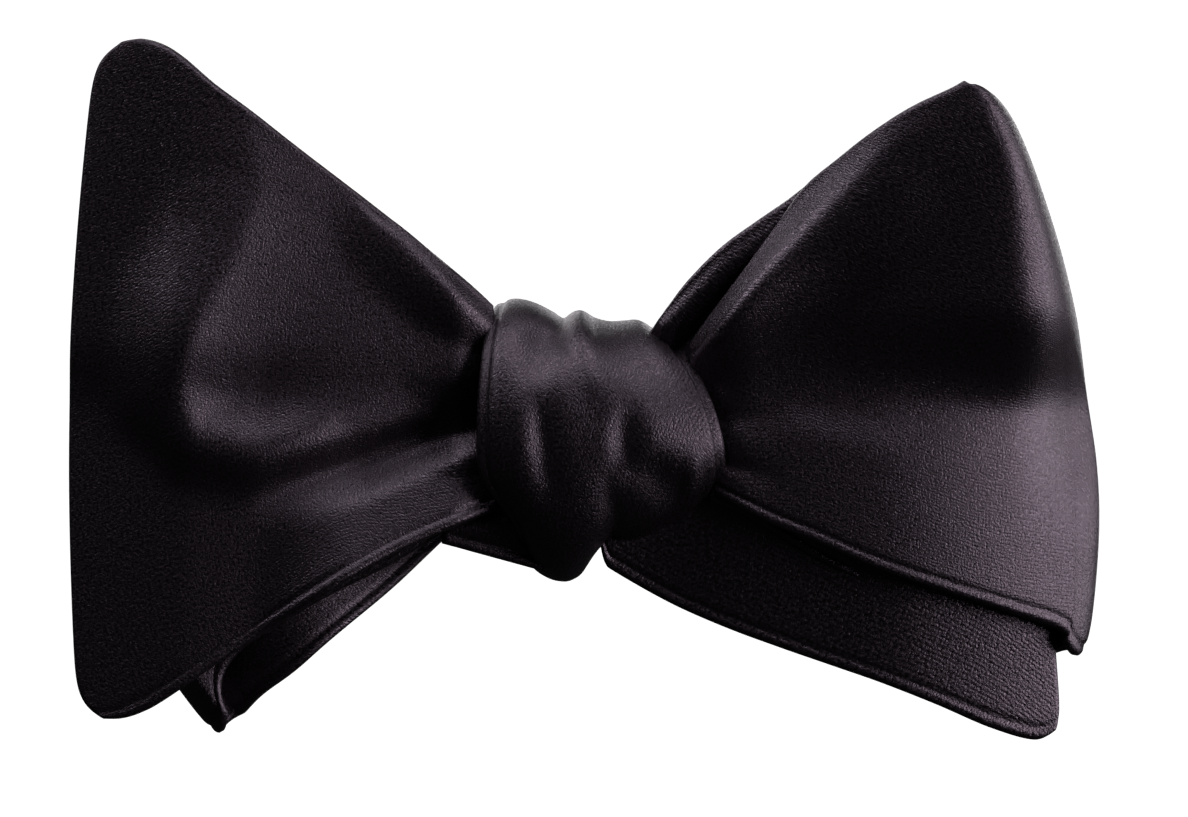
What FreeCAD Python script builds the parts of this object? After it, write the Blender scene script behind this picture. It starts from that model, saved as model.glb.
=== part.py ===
import FreeCAD, Part
import math
import os
import Sketcher
from FreeCAD import Placement, Rotation, Vector

# Self-tied butterfly bow tie in millimetres. The neckband is a ring about the vertical Z axis, its mid
# height at Z = 0. The bow hangs on the band's front, at -Y, and the hook and eye meet at the back, at +Y.

doc = FreeCAD.newDocument("BowTie")

# ---------------------------------------------------------------- driving dimensions
SIZES = [
    ("CollarRadius", 62.0),       # inner radius of the closed band, a 390 mm neck
    ("BandHeight", 20.0),         # height of both straps
    ("Satin", 0.4),               # one layer of satin
    ("Interlining", 0.6),         # the woven layer inside
    ("BarRoom", 0.1),             # free room round a metal bar that a strap is folded over
    ("CrossingTurn", 8.0),        # degrees that each strap runs on past the front centre
    ("SwingTurn", 136.0),         # degrees from the back to where the right strap bends
    ("SwingGap", 0.5),            # gap between the two stretches of the right strap
    ("HardwareReach", 13.5),      # from the back centre to each strap's metal bar
    ("EyeWire", 1.0),             # wire diameter of the eye
    ("HookStock", 0.7),           # sheet thickness of the hook
    ("HookWidth", 8.0),           # width of the hook's tongue
    ("HookClearance", 0.3),       # free room around the eye's wire in the hook
    ("TongueReach", 2.2),         # from the eye's wire to the tip of the tongue
    ("PocketRise", 2.6),          # height of the eye's wire above the collar
    ("SideClearance", 0.4),       # free room above and below the straps in metal loops
    ("RailWidth", 1.2),           # metal beside each slot
    ("SlotBarWidth", 0.8),        # bar that a strap is folded round
    ("SlotLength", 2.6),          # slot beside the hook's bar
    ("TailTurn", 26.0),           # degrees from the back to the free edge of the doubled strap
    ("EyeReturn", 16.0),          # length of the right strap's end, turned back and sewn
    ("TackWidth", 1.6),           # sewn bar tack
    ("TackHeight", 0.3),
    ("SliderTurn", 62.0),         # degrees from the back to the slider
    ("SliderLength", 12.0),       # along the band
    ("SliderStock", 0.8),         # sheet thickness of the slider
    ("SliderClearance", 0.4),     # free room between the slider and the strap
    ("SliderBarWidth", 2.0),      # the slider's middle bar
    ("SliderEdgeWidth", 1.4),     # the slider's two end bars
    ("CoreRadius", 4.0),          # crossed straps under the knot
    ("CoreStandoff", 1.0),        # from the band to the core
    ("WaistMargin", 1.6),         # between the gathered cloth and the wrap, above and below
    ("TiltClearance", 0.6),       # between the core and the bow
    ("BackWaistDepth", 3.0),
    ("FrontWaistDepth", 7.6),
    ("KnotWidth", 27.7),
    ("KnotTop", 14.4),
    ("KnotBottom", 17.8),
    ("LeftReach", 61.0),          # from the knot's centre to the left edge of the bow
    ("RightReach", 59.0),         # and to its right edge
    ("EndTop", 43.5),             # top and bottom of the left end
    ("EndBottom", 34.0),
    ("LoopTop", 37.5),            # top and bottom of the right loop
    ("LoopBottom", 25.0),
    ("LoopHalfDepth", 5.0),       # half the outer depth of a loop at its fold
    ("LayerGap", 0.04),           # between two layers of one panel
]
sheet = doc.addObject("Spreadsheet::Sheet", "Sizes")
for row, (alias, number) in enumerate(SIZES, start=1):
    sheet.set(f"A{row}", alias)
    sheet.set(f"B{row}", str(number))
    sheet.setAlias(f"B{row}", alias)
doc.recompute()


def size(alias):
    """The number in one cell of the sheet."""
    return float(sheet.get(alias))


def value(expression):
    """The number that an expression of the sheet's cells gives."""
    found = sheet.evalExpression(expression)
    return float(getattr(found, "Value", found))


# Radial levels of the band: the inner strap lies on the collar and the outer one a metal bar further out.
STRAP = "(2 * Sizes.Satin + Sizes.Interlining)"
INNER = "Sizes.CollarRadius"
INNER_FACE = f"(Sizes.CollarRadius + {STRAP})"
BAR_GAP = "(max(Sizes.EyeWire; hypot(Sizes.HookStock; Sizes.SlotBarWidth)) + 2 * Sizes.BarRoom)"
OUTER = f"({INNER_FACE} + {BAR_GAP})"
OUTER_FACE = f"({OUTER} + {STRAP})"
FOLD_RADIUS = f"({INNER_FACE} + {BAR_GAP} / 2)"
HALF_BAND = "(Sizes.BandHeight / 2)"
FOLD_TURN = f"(asin(Sizes.HardwareReach / {FOLD_RADIUS}) / 1 deg)"
HALF_SWING_GAP = "(Sizes.SwingGap / 2 / Sizes.CollarRadius * 180 / pi)"

TACK_PLACE = 0.8      # where the bar tack starts, as a share of the eye strap's turned end
TACK_SPAN = 0.9       # share of the band's height that the tack crosses
EYE_BEND = 1.5        # radius of the eye's corners, in wire diameters
SHOULDER_REACH = 4.0  # how far the cuts beside the hook's tongue run past the centre, in wire diameters

nodes = {}


# ---------------------------------------------------------------- helpers for the band and its metal
def new_body(label):
    body = doc.addObject("PartDesign::Body", label)
    body.Label = label
    nodes[label] = body
    return body


def origin_plane(body, role):
    for feature in body.Origin.OriginFeatures:
        if feature.Role == role:
            return feature
    raise RuntimeError(f"{body.Label} has no {role}")


def new_sketch(body, name, role):
    sketch = body.newObject("Sketcher::SketchObject", name)
    sketch.AttachmentSupport = [(origin_plane(body, role), "")]
    sketch.MapMode = "FlatFace"
    return sketch


def rectangle(sketch, left, right, low, high):
    """A rectangle whose four sides are bound to expressions of the sheet."""
    x0, x1, y0, y1 = value(left), value(right), value(low), value(high)
    corners = [Vector(x0, y0), Vector(x1, y0), Vector(x1, y1), Vector(x0, y1)]
    for number in range(4):
        sketch.addGeometry(Part.LineSegment(corners[number], corners[(number + 1) % 4]))
    for number in range(4):
        sketch.addConstraint(Sketcher.Constraint("Coincident", number, 2, (number + 1) % 4, 1))
    for number in (0, 2):
        sketch.addConstraint(Sketcher.Constraint("Horizontal", number))
        sketch.addConstraint(Sketcher.Constraint("Vertical", number + 1))
    bound = (("DistanceX", 0, x0, left), ("DistanceX", 2, x1, right))
    bound += (("DistanceY", 0, y0, low), ("DistanceY", 2, y1, high))
    for kind, line, number, expression in bound:
        place = sketch.addConstraint(Sketcher.Constraint(kind, -1, 1, line, 1, number))
        sketch.setExpression(f"Constraints[{place}]", expression)


def ring_sector(body, name, start, sweep, inner, outer, low, high):
    """Adds a stretch of a flat ring about Z, from the angle start through the angle sweep."""
    section = new_sketch(body, f"{name}Section", "XZ_Plane")
    section.AttachmentOffset = Placement(Vector(), Rotation(Vector(0, 1, 0), 1))
    section.setExpression("AttachmentOffset.Rotation.Angle", start)
    rectangle(section, inner, outer, low, high)
    sector = body.newObject("PartDesign::Revolution", name)
    sector.Profile = section
    sector.ReferenceAxis = (section, ["V_Axis"])
    sector.setExpression("Angle", sweep)
    section.Visibility = False
    return sector


def strap(label, start, sweep, inner, outer):
    ring_sector(new_body(label), f"{label}_run", start, sweep, inner, outer, f"-{HALF_BAND}", HALF_BAND)


def strap_layers(label, start, sweep, level):
    """Satin, interlining and satin, from the collar outwards."""
    first = f"({level} + Sizes.Satin)"
    second = f"({first} + Sizes.Interlining)"
    strap(f"{label}_inner", start, sweep, level, first)
    strap(f"{label}_interlining", start, sweep, first, second)
    strap(f"{label}_outer", start, sweep, second, f"({second} + Sizes.Satin)")


def outline_sketch(body, name, role, edges):
    """A sketch of a closed outline, whose edges are given in order and are joined end to end."""
    sketch = new_sketch(body, name, role)
    ends = []
    for number, edge in enumerate(edges):
        first = edge.StartPoint
        sketch.addGeometry(edge)
        kept = sketch.getPoint(number, 1).distanceToPoint(first) < 1e-6
        ends.append((1, 2) if kept else (2, 1))
    for number in range(len(edges)):
        follower = (number + 1) % len(edges)
        sketch.addConstraint(
            Sketcher.Constraint("Coincident", number, ends[number][1], follower, ends[follower][0])
        )
    return sketch


def strap_fold(label, side):
    """The half turn of a strap round a metal bar. side is +1 where the turn points to +X."""
    body = new_body(label)
    radius = value(FOLD_RADIUS)
    inner = value(BAR_GAP) / 2
    outer = inner + value(STRAP)

    def at(reach, height):
        return Vector(side * reach, radius + height)

    edges = [
        Part.Arc(at(0, outer), at(outer, 0), at(0, -outer)),
        Part.LineSegment(at(0, -outer), at(0, -inner)),
        Part.Arc(at(0, -inner), at(inner, 0), at(0, inner)),
        Part.LineSegment(at(0, inner), at(0, outer)),
    ]
    section = outline_sketch(body, f"{label}_section", "XY_Plane", edges)
    pad = body.newObject("PartDesign::Pad", f"{label}_pad")
    pad.Profile = section
    pad.Midplane = True
    pad.setExpression("Length", "Sizes.BandHeight")
    body.Placement = Placement(Vector(), Rotation(Vector(0, 0, 1), 1))
    body.setExpression("Placement.Rotation.Angle", f"{side} * {FOLD_TURN}")


# ---------------------------------------------------------------- neckband
strap_layers("left_strap", f"90 + {FOLD_TURN}", f"180 + Sizes.CrossingTurn - {FOLD_TURN}", OUTER)
strap_layers(
    "right_front_strap",
    "270 - Sizes.CrossingTurn",
    f"Sizes.CrossingTurn + 180 - Sizes.SwingTurn - {HALF_SWING_GAP}",
    INNER,
)
strap_layers(
    "right_strap",
    f"90 - Sizes.SwingTurn + {HALF_SWING_GAP}",
    f"Sizes.SwingTurn - {FOLD_TURN} - {HALF_SWING_GAP}",
    INNER,
)
strap_fold("hook_fold", 1)
strap_fold("eye_fold", -1)
strap("adjuster_tail", f"90 + {FOLD_TURN}", f"Sizes.TailTurn - {FOLD_TURN}", INNER, INNER_FACE)
RETURN_TURN = f"(Sizes.EyeReturn / {OUTER} * 180 / pi)"
strap("eye_return", f"90 - {FOLD_TURN} - {RETURN_TURN}", RETURN_TURN, OUTER, OUTER_FACE)
TACK_TURN = f"(Sizes.TackWidth / {OUTER} * 180 / pi)"
ring_sector(
    new_body("eye_bartack"),
    "eye_bartack_run",
    f"90 - {FOLD_TURN} - {RETURN_TURN} * {TACK_PLACE}",
    TACK_TURN,
    OUTER_FACE,
    f"({OUTER_FACE} + Sizes.TackHeight)",
    f"-{HALF_BAND} * {TACK_SPAN}",
    f"{HALF_BAND} * {TACK_SPAN}",
)


# ---------------------------------------------------------------- hook and eye
def strip_outline(path, thickness):
    """Both sides of a bent strip whose inner face follows path, a list of points, as corner points."""
    far = []
    for number, point in enumerate(path):
        before = path[max(number - 1, 0)]
        after = path[min(number + 1, len(path) - 1)]
        first = (point - before) if number else (after - point)
        second = (after - point) if number < len(path) - 1 else first
        one = Vector(-first.y, first.x).normalize()
        two = Vector(-second.y, second.x).normalize()
        both = one + two
        both.normalize()
        far.append(point + both * (thickness / both.dot(one)))
    return far


def hook():
    """A bent sheet: a wide slotted end for the strap, a narrow plate over the eye, and a tongue under it."""
    body = new_body("hook")
    stock = size("HookStock")
    bar_radius = value(FOLD_RADIUS)
    reach = size("HardwareReach")
    wire = Vector(0, size("CollarRadius") + size("PocketRise"))
    pocket = size("EyeWire") / 2 + size("HookClearance")
    slope = math.radians((180 - size("SwingTurn")) / 2)
    slot_end = Vector(-reach - size("SlotBarWidth") / 2, 0)
    climb = reach / math.sqrt(bar_radius**2 - reach**2)
    slot_end.y = math.sqrt(bar_radius**2 - reach**2) - stock / 2 - climb * size("SlotBarWidth") / 2
    rise_start = Vector(slot_end.x + size("SlotBarWidth") + size("SlotLength") + size("RailWidth"), 0)
    rise_start.y = slot_end.y + (rise_start.x - slot_end.x) * climb
    plate_start = Vector(rise_start.x + 2 * size("PocketRise"), wire.y + pocket)
    plate_end = wire + Vector(0, pocket)
    upper = [slot_end, rise_start, plate_start, plate_end]
    upper_far = strip_outline(upper, stock)
    across = Vector(math.sin(slope), -math.cos(slope))
    along = Vector(-math.cos(slope), -math.sin(slope))
    tongue_start = wire + across * pocket
    tongue_end = tongue_start + along * (size("TongueReach") + pocket * math.sin(slope))
    bend_middle = Vector(math.cos(slope / 2), math.sin(slope / 2))
    inner_bend = Part.Arc(plate_end, wire + bend_middle * pocket, tongue_start)
    outer_bend = Part.Arc(tongue_start + across * stock, wire + bend_middle * (pocket + stock), upper_far[3])
    edges = [Part.LineSegment(upper[number], upper[number + 1]) for number in range(3)]
    edges.append(inner_bend)
    edges.append(Part.LineSegment(tongue_start, tongue_end))
    edges.append(Part.LineSegment(tongue_end, tongue_end + across * stock))
    edges.append(Part.LineSegment(tongue_end + across * stock, tongue_start + across * stock))
    edges.append(outer_bend)
    edges += [Part.LineSegment(upper_far[number], upper_far[number - 1]) for number in (3, 2, 1)]
    edges.append(Part.LineSegment(upper_far[0], upper[0]))
    profile = outline_sketch(body, "hook_profile", "XY_Plane", edges)
    sheet_metal = body.newObject("PartDesign::Pad", "hook_sheet")
    sheet_metal.Profile = profile
    sheet_metal.Midplane = True
    full_width = "(Sizes.BandHeight + 2 * Sizes.SideClearance + 2 * Sizes.RailWidth)"
    sheet_metal.setExpression("Length", full_width)
    doc.recompute()

    def cut(name, left, right, low, high):
        before = body.Shape.Volume
        window = new_sketch(body, f"{name}_window", "XZ_Plane")
        rectangle(window, left, right, low, high)
        pocket_cut = body.newObject("PartDesign::Pocket", name)
        pocket_cut.Profile = window
        pocket_cut.Type = "ThroughAll"
        pocket_cut.Midplane = True
        doc.recompute()
        if body.Shape.Volume > before - 1:
            raise RuntimeError(f"{name} cuts nothing")

    slot_left = "(-Sizes.HardwareReach + Sizes.SlotBarWidth / 2)"
    slot_half = f"({HALF_BAND} + Sizes.SideClearance)"
    cut("hook_slot", slot_left, f"({slot_left} + Sizes.SlotLength)", f"-{slot_half}", slot_half)
    shoulder = f"({slot_left} + Sizes.SlotLength + Sizes.RailWidth)"
    beyond = f"(Sizes.EyeWire * {SHOULDER_REACH})"
    edge = f"({full_width} / 2 + 1)"
    cut("hook_shoulder_top", shoulder, beyond, "(Sizes.HookWidth / 2)", edge)
    cut("hook_shoulder_bottom", shoulder, beyond, f"-{edge}", "(-Sizes.HookWidth / 2)")


def eye():
    """A rounded rectangle of wire, one long side in the strap's fold and the other in the hook."""
    body = new_body("eye")
    near = Vector(size("HardwareReach"), 0)
    near.y = math.sqrt(value(FOLD_RADIUS) ** 2 - near.x**2)
    far = Vector(0, size("CollarRadius") + size("PocketRise"))
    length = (near - far).Length
    half = value(HALF_BAND) + size("SideClearance") + size("EyeWire") / 2
    corner = size("EyeWire") * EYE_BEND
    diagonal = corner * (1 - math.sqrt(0.5))
    edges = []

    def side_and_corner(start, end, middle, after):
        edges.append(Part.LineSegment(Vector(*start), Vector(*end)))
        edges.append(Part.Arc(Vector(*end), Vector(*middle), Vector(*after)))

    right = length - corner
    side_and_corner((0, 0), (0, half - corner), (diagonal, half - diagonal), (corner, half))
    side_and_corner(
        (corner, half), (right, half), (length - diagonal, half - diagonal), (length, half - corner)
    )
    side_and_corner(
        (length, half - corner), (length, corner - half), (length - diagonal, diagonal - half), (right, -half)
    )
    side_and_corner((right, -half), (corner, -half), (diagonal, diagonal - half), (0, corner - half))
    edges.append(Part.LineSegment(Vector(0, corner - half), Vector(0, 0)))
    path = outline_sketch(body, "eye_path", "XZ_Plane", edges)
    section = new_sketch(body, "eye_section", "XY_Plane")
    section.addGeometry(Part.Circle(Vector(0, 0), Vector(0, 0, 1), size("EyeWire") / 2))
    section.addConstraint(Sketcher.Constraint("Coincident", 0, 3, -1, 1))
    section.addConstraint(Sketcher.Constraint("Diameter", 0, size("EyeWire")))
    section.setExpression("Constraints[1]", "Sizes.EyeWire")
    doc.recompute()
    wire = body.newObject("PartDesign::AdditivePipe", "eye_wire")
    wire.Profile = section
    wire.Spine = path
    lean = math.degrees(math.atan2(near.y - far.y, near.x - far.x))
    body.Placement = Placement(far, Rotation(Vector(0, 0, 1), lean))


hook()
eye()


# ---------------------------------------------------------------- slider
def slider():
    """A three-bar slide: the strap runs between its middle bar, on the collar side, and its end bars."""
    body = new_body("slider")
    turn = "90 + Sizes.SliderTurn"
    half_turn = f"(Sizes.SliderLength / 2 / {OUTER} * 180 / pi)"
    bar_inner = f"({INNER} + Sizes.Satin)"
    bar_outer = f"({bar_inner} + Sizes.Interlining)"
    end_inner = f"({OUTER_FACE} + Sizes.SliderClearance)"
    end_outer = f"({end_inner} + Sizes.SliderStock)"
    window = f"({HALF_BAND} + Sizes.SideClearance)"
    rail = f"({window} + Sizes.RailWidth)"
    rail_inner = f"({bar_inner} + Sizes.Interlining / 2)"
    for name, low, high in (
        ("slider_rail_top", window, rail),
        ("slider_rail_bottom", f"-{rail}", f"-{window}"),
    ):
        ring_sector(body, name, f"{turn} - {half_turn}", f"2 * {half_turn}", rail_inner, end_outer, low, high)
    end_turn = f"(Sizes.SliderEdgeWidth / {OUTER} * 180 / pi)"
    for name, start in (
        ("slider_end_near", f"{turn} - {half_turn}"),
        ("slider_end_far", f"{turn} + {half_turn} - {end_turn}"),
    ):
        ring_sector(body, name, start, end_turn, end_inner, end_outer, f"-{window}", window)
    bar_turn = f"(Sizes.SliderBarWidth / {INNER} * 180 / pi)"
    ring_sector(
        body,
        "slider_middle_bar",
        f"{turn} - {bar_turn} / 2",
        bar_turn,
        bar_inner,
        bar_outer,
        f"-{window}",
        window,
    )
    return turn, bar_turn, bar_inner, bar_outer


def tail_loop(turn, bar_turn, bar_inner, bar_outer):
    """The end of the doubled strap, sewn round the slider's middle bar."""
    body = new_body("tail_loop")
    loop_turn = f"({bar_turn} * 3)"
    ring_sector(
        body,
        "tail_loop_run",
        f"{turn} - {loop_turn} / 2",
        loop_turn,
        INNER,
        INNER_FACE,
        f"-{HALF_BAND}",
        HALF_BAND,
    )
    doc.recompute()
    before = body.Shape.Volume
    section = new_sketch(body, "tail_loop_hole", "XZ_Plane")
    section.AttachmentOffset = Placement(Vector(), Rotation(Vector(0, 1, 0), 1))
    section.setExpression("AttachmentOffset.Rotation.Angle", f"{turn} - {bar_turn} / 2")
    rectangle(section, bar_inner, bar_outer, f"-{HALF_BAND}", HALF_BAND)
    hole = body.newObject("PartDesign::Groove", "tail_loop_room")
    hole.Profile = section
    hole.ReferenceAxis = (section, ["V_Axis"])
    hole.setExpression("Angle", bar_turn)
    doc.recompute()
    if body.Shape.Volume > before - 1:
        raise RuntimeError("the tail's loop has no room for the bar")


tail_loop(*slider())


# ---------------------------------------------------------------- knot
BAND_FRONT = value(OUTER_FACE)
CORE_DEPTH = BAND_FRONT + size("CoreStandoff") + size("CoreRadius")
PANEL = 2 * size("Satin") + size("Interlining") + 2 * size("LayerGap")
BACK_WAIST = CORE_DEPTH + size("CoreRadius") + size("TiltClearance")
FRONT_WAIST = BACK_WAIST + size("BackWaistDepth") + size("TiltClearance")
WRAP_INNER = FRONT_WAIST + size("FrontWaistDepth") + size("TiltClearance")
WRAP_OUTER = WRAP_INNER + PANEL
LEAF_ROOT = size("KnotWidth") / 2
ROOT_TOP = size("KnotTop") - PANEL - size("WaistMargin")
ROOT_BOTTOM = -(size("KnotBottom") - PANEL - size("WaistMargin"))
FRONT_WAIST_FOOT = 4.9   # how much higher the front gathers end than the back ones, at the bottom
FRONT_WAIST_HEAD = 3.3   # and how much lower at the top
GATHER_ROUND = 2.5       # largest rounding of the gathered cloth's long edges
GATHER_SHARE = 0.45      # and its share of the gathers' depth where they are thin
WRAP_CORNER = 8.0        # outer radius of the wrap where it turns over the knot
WRAP_OVERLAP = 1.0       # how far the wrap runs back past the middle of the crossed straps
LEAF_SPREAD = 0.8        # between the two leaves of a loop beside the knot
LEAF_OPENING = 1.2       # how soon the leaves of a loop are as far apart as its fold


def add_feature(label, shape):
    feature = doc.addObject("Part::Feature", label)
    feature.Label = label
    feature.Shape = shape
    feature.Placement = Placement()
    nodes[label] = feature
    return feature


def box_between(low, high):
    span = high - low
    return Part.makeBox(span.x, span.y, span.z, low)


def knot_core():
    """The two straps where they cross and turn up into the knot: a roll along X on a short stem."""
    radius = size("CoreRadius")
    half = LEAF_ROOT - 2 * size("TiltClearance")
    roll = Part.makeCylinder(radius, 2 * half, Vector(-half, -CORE_DEPTH, 0), Vector(1, 0, 0))
    stem = box_between(
        Vector(-radius, -CORE_DEPTH, -radius), Vector(radius, -BAND_FRONT + size("Interlining"), radius)
    )
    band = Part.makeCylinder(BAND_FRONT, size("BandHeight"), Vector(0, 0, -size("BandHeight") / 2))
    add_feature("knot_core", roll.fuse(stem.cut(band)).removeSplitter())


def waist(label, back, depth, low, high):
    """Gathered cloth inside the wrap, with rounded long edges."""
    half = LEAF_ROOT
    block = box_between(Vector(-half, -back - depth, low), Vector(half, -back, high))
    long_edges = [edge for edge in block.Edges if abs(edge.tangentAt(0).x) > 0.9]
    add_feature(label, block.makeFillet(min(depth * GATHER_SHARE, GATHER_ROUND), long_edges))


def wrap_layer(label, outer_inset, inner_inset):
    """One layer of the band of cloth that goes over the knot's front, open at the back."""
    body = new_body(label)
    back = WRAP_OVERLAP - CORE_DEPTH

    def side(inset, downwards):
        """The edges of one side of the layer, from one of its ends round the knot's front to the other."""
        front = inset - WRAP_OUTER
        top = size("KnotTop") - inset
        bottom = inset - size("KnotBottom")
        radius = WRAP_CORNER - inset
        cut = radius * (1 - math.sqrt(0.5))
        points = [
            Vector(back, bottom),
            Vector(front + radius, bottom),
            Vector(front + cut, bottom + cut),
            Vector(front, bottom + radius),
            Vector(front, top - radius),
            Vector(front + cut, top - cut),
            Vector(front + radius, top),
            Vector(back, top),
        ]
        if downwards:
            points.reverse()
        run = [
            Part.LineSegment(points[0], points[1]),
            Part.Arc(points[1], points[2], points[3]),
            Part.LineSegment(points[3], points[4]),
            Part.Arc(points[4], points[5], points[6]),
            Part.LineSegment(points[6], points[7]),
        ]
        return points[0], points[-1], run

    lower_end, upper_end, outer = side(outer_inset, False)
    inner_upper_end, inner_lower_end, inner = side(inner_inset, True)
    edges = outer + [Part.LineSegment(upper_end, inner_upper_end)]
    edges += inner + [Part.LineSegment(inner_lower_end, lower_end)]
    profile = outline_sketch(body, f"{label}_profile", "YZ_Plane", edges)
    pad = body.newObject("PartDesign::Pad", f"{label}_pad")
    pad.Profile = profile
    pad.Midplane = True
    pad.setExpression("Length", "Sizes.KnotWidth")


knot_core()
waist("back_waist", BACK_WAIST, size("BackWaistDepth"), ROOT_BOTTOM, ROOT_TOP)
waist(
    "front_waist",
    FRONT_WAIST,
    size("FrontWaistDepth"),
    ROOT_BOTTOM + FRONT_WAIST_FOOT,
    ROOT_TOP - FRONT_WAIST_HEAD,
)
wrap_layer("knot_wrap", 0.0, size("Satin"))
wrap_layer("knot_wrap_interlining", size("Satin") + size("LayerGap"), PANEL)


# ---------------------------------------------------------------- ends and loops of the bow
LAYERS = (
    ("face", 0.0, size("Satin")),
    (
        "interlining",
        size("Satin") + size("LayerGap"),
        size("Satin") + size("Interlining") + size("LayerGap"),
    ),
    ("back", size("Satin") + size("Interlining") + 2 * size("LayerGap"), PANEL),
)


def closed_wire(points):
    return Part.makePolygon(points + points[:1])


def flat_end(label, side, stations):
    """A flat end of a blade. Each station is (distance from the knot, low, high, depth of its front)."""
    for layer, near, far in LAYERS:
        sections = []
        for reach, low, high, depth in stations:
            x = side * reach
            corners = [(depth - near, low), (depth - far, low), (depth - far, high), (depth - near, high)]
            sections.append(closed_wire([Vector(x, -y, z) for y, z in corners]))
        add_feature(f"{label}_{layer}", Part.makeLoft(sections, True, True))


def folded_loop(label, side, stations, root_middle, fold_middle, reach):
    """A loop of a blade, folded at its far edge.

    Each station is (height, share of the way out at which the leaves start, fold's distance from the knot).
    """
    deep = size("LoopHalfDepth")
    root_half = PANEL + LEAF_SPREAD

    def middle(x):
        share = (x - LEAF_ROOT) / (reach - LEAF_ROOT)
        return root_middle + (fold_middle - root_middle) * share

    def half_depth(x):
        share = (x - LEAF_ROOT) / (reach - LEAF_ROOT)
        return root_half + (deep - root_half) * min(share * LEAF_OPENING, 1)

    for layer, near, far in LAYERS:
        sections = []
        for height, start_share, fold in stations:
            start = LEAF_ROOT + start_share * (reach - LEAF_ROOT)
            centre = fold - deep

            def at(x, depth):
                return Vector(side * x, -depth, height)

            outer_start = half_depth(start) - near
            inner_start = half_depth(start) - far
            outer_fold = deep - near
            inner_fold = deep - far
            begin = middle(start)
            turn = middle(centre)
            edges = [
                Part.makeLine(at(start, begin + outer_start), at(centre, turn + outer_fold)),
                Part.Arc(
                    at(centre, turn + outer_fold), at(centre + outer_fold, turn), at(centre, turn - outer_fold)
                ).toShape(),
                Part.makeLine(at(centre, turn - outer_fold), at(start, begin - outer_start)),
                Part.makeLine(at(start, begin - outer_start), at(start, begin - inner_start)),
                Part.makeLine(at(start, begin - inner_start), at(centre, turn - inner_fold)),
                Part.Arc(
                    at(centre, turn - inner_fold), at(centre + inner_fold, turn), at(centre, turn + inner_fold)
                ).toShape(),
                Part.makeLine(at(centre, turn + inner_fold), at(start, begin + inner_start)),
                Part.makeLine(at(start, begin + inner_start), at(start, begin + outer_start)),
            ]
            sections.append(Part.Wire(edges))
        add_feature(f"{label}_{layer}", Part.makeLoft(sections, True, True))


left = size("LeftReach")
right = size("RightReach")
end_top = size("EndTop")
end_bottom = -size("EndBottom")
front_depth = FRONT_WAIST + size("FrontWaistDepth") / 2
back_depth = BACK_WAIST + size("BackWaistDepth") / 2
# The stations of a flat end: beside the knot, before its corners, at its corners and at its far edge.
flat_end(
    "left_end",
    -1,
    [
        (LEAF_ROOT, ROOT_BOTTOM + 4.0, ROOT_TOP + 0.8, front_depth + PANEL / 2),
        (left - 13.0, end_bottom + 3.9, end_top - 0.7, front_depth + 0.6),
        (left - 5.5, end_bottom, end_top, front_depth),
        (left - 0.6, end_bottom + 1.5, end_top - 4.0, front_depth - 0.6),
    ],
)
flat_end(
    "right_end",
    1,
    [
        (LEAF_ROOT, ROOT_BOTTOM - 1.5, ROOT_TOP, back_depth + PANEL / 2),
        (right - 31.3, end_bottom + 5.8, 29.5, back_depth - 0.6),
        (right - 7.6, end_bottom - 2.6, 34.0, back_depth - 2.6),
        (right - 5.1, end_bottom, 28.0, back_depth - 3.0),
    ],
)
loop_top = size("LoopTop")
loop_bottom = -size("LoopBottom")
# The stations of a loop: its lowest corner, the ends of its full-width middle, above it, and its top.
folded_loop(
    "right_loop",
    1,
    [
        (loop_bottom, 0.79, right - 0.7),
        (-8.5, 0.0, right),
        (8.0, 0.0, right - 1.5),
        (loop_top - 10.0, 0.24, right - 7.7),
        (loop_top, 0.5, right - 12.2),
    ],
    front_depth,
    front_depth + 0.8,
    right,
)
folded_loop(
    "left_loop",
    -1,
    [
        (end_bottom, 0.6, left - 10.5),
        (-20.0, 0.28, left - 0.5),
        (-8.0, 0.0, left),
        (8.0, 0.0, left - 1.0),
        (24.0, 0.4, left - 9.0),
    ],
    back_depth - 0.2,
    back_depth - 2.6,
    left,
)
# The end of the wrap, where it comes out behind the knot low on the left.
RETURN_REACH = 5.5
RETURN_TOP = -10.2
RETURN_BOTTOM = -14.7
RETURN_BACK = BACK_WAIST + size("BackWaistDepth") + 0.9
RETURN_THICKNESS = 1.3
add_feature(
    "wrap_return",
    box_between(
        Vector(-LEAF_ROOT - RETURN_REACH, -RETURN_BACK - RETURN_THICKNESS, RETURN_BOTTOM),
        Vector(-LEAF_ROOT, -RETURN_BACK, RETURN_TOP),
    ),
)

# ---------------------------------------------------------------- check and write
doc.recompute()
for thing in doc.Objects:
    if "Invalid" in thing.State or "Error" in thing.State:
        raise RuntimeError(f"{thing.Label} failed: {thing.State}")
os.makedirs("parts", exist_ok=True)
for name, thing in nodes.items():
    shape = thing.Shape
    if shape.isNull() or not shape.isValid() or len(shape.Solids) != 1:
        raise RuntimeError(f"{name} is not one valid solid")
for name, thing in nodes.items():
    thing.Shape.exportStep(f"parts/{name}.step")
print(len(nodes), "parts")
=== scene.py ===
import math

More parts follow.
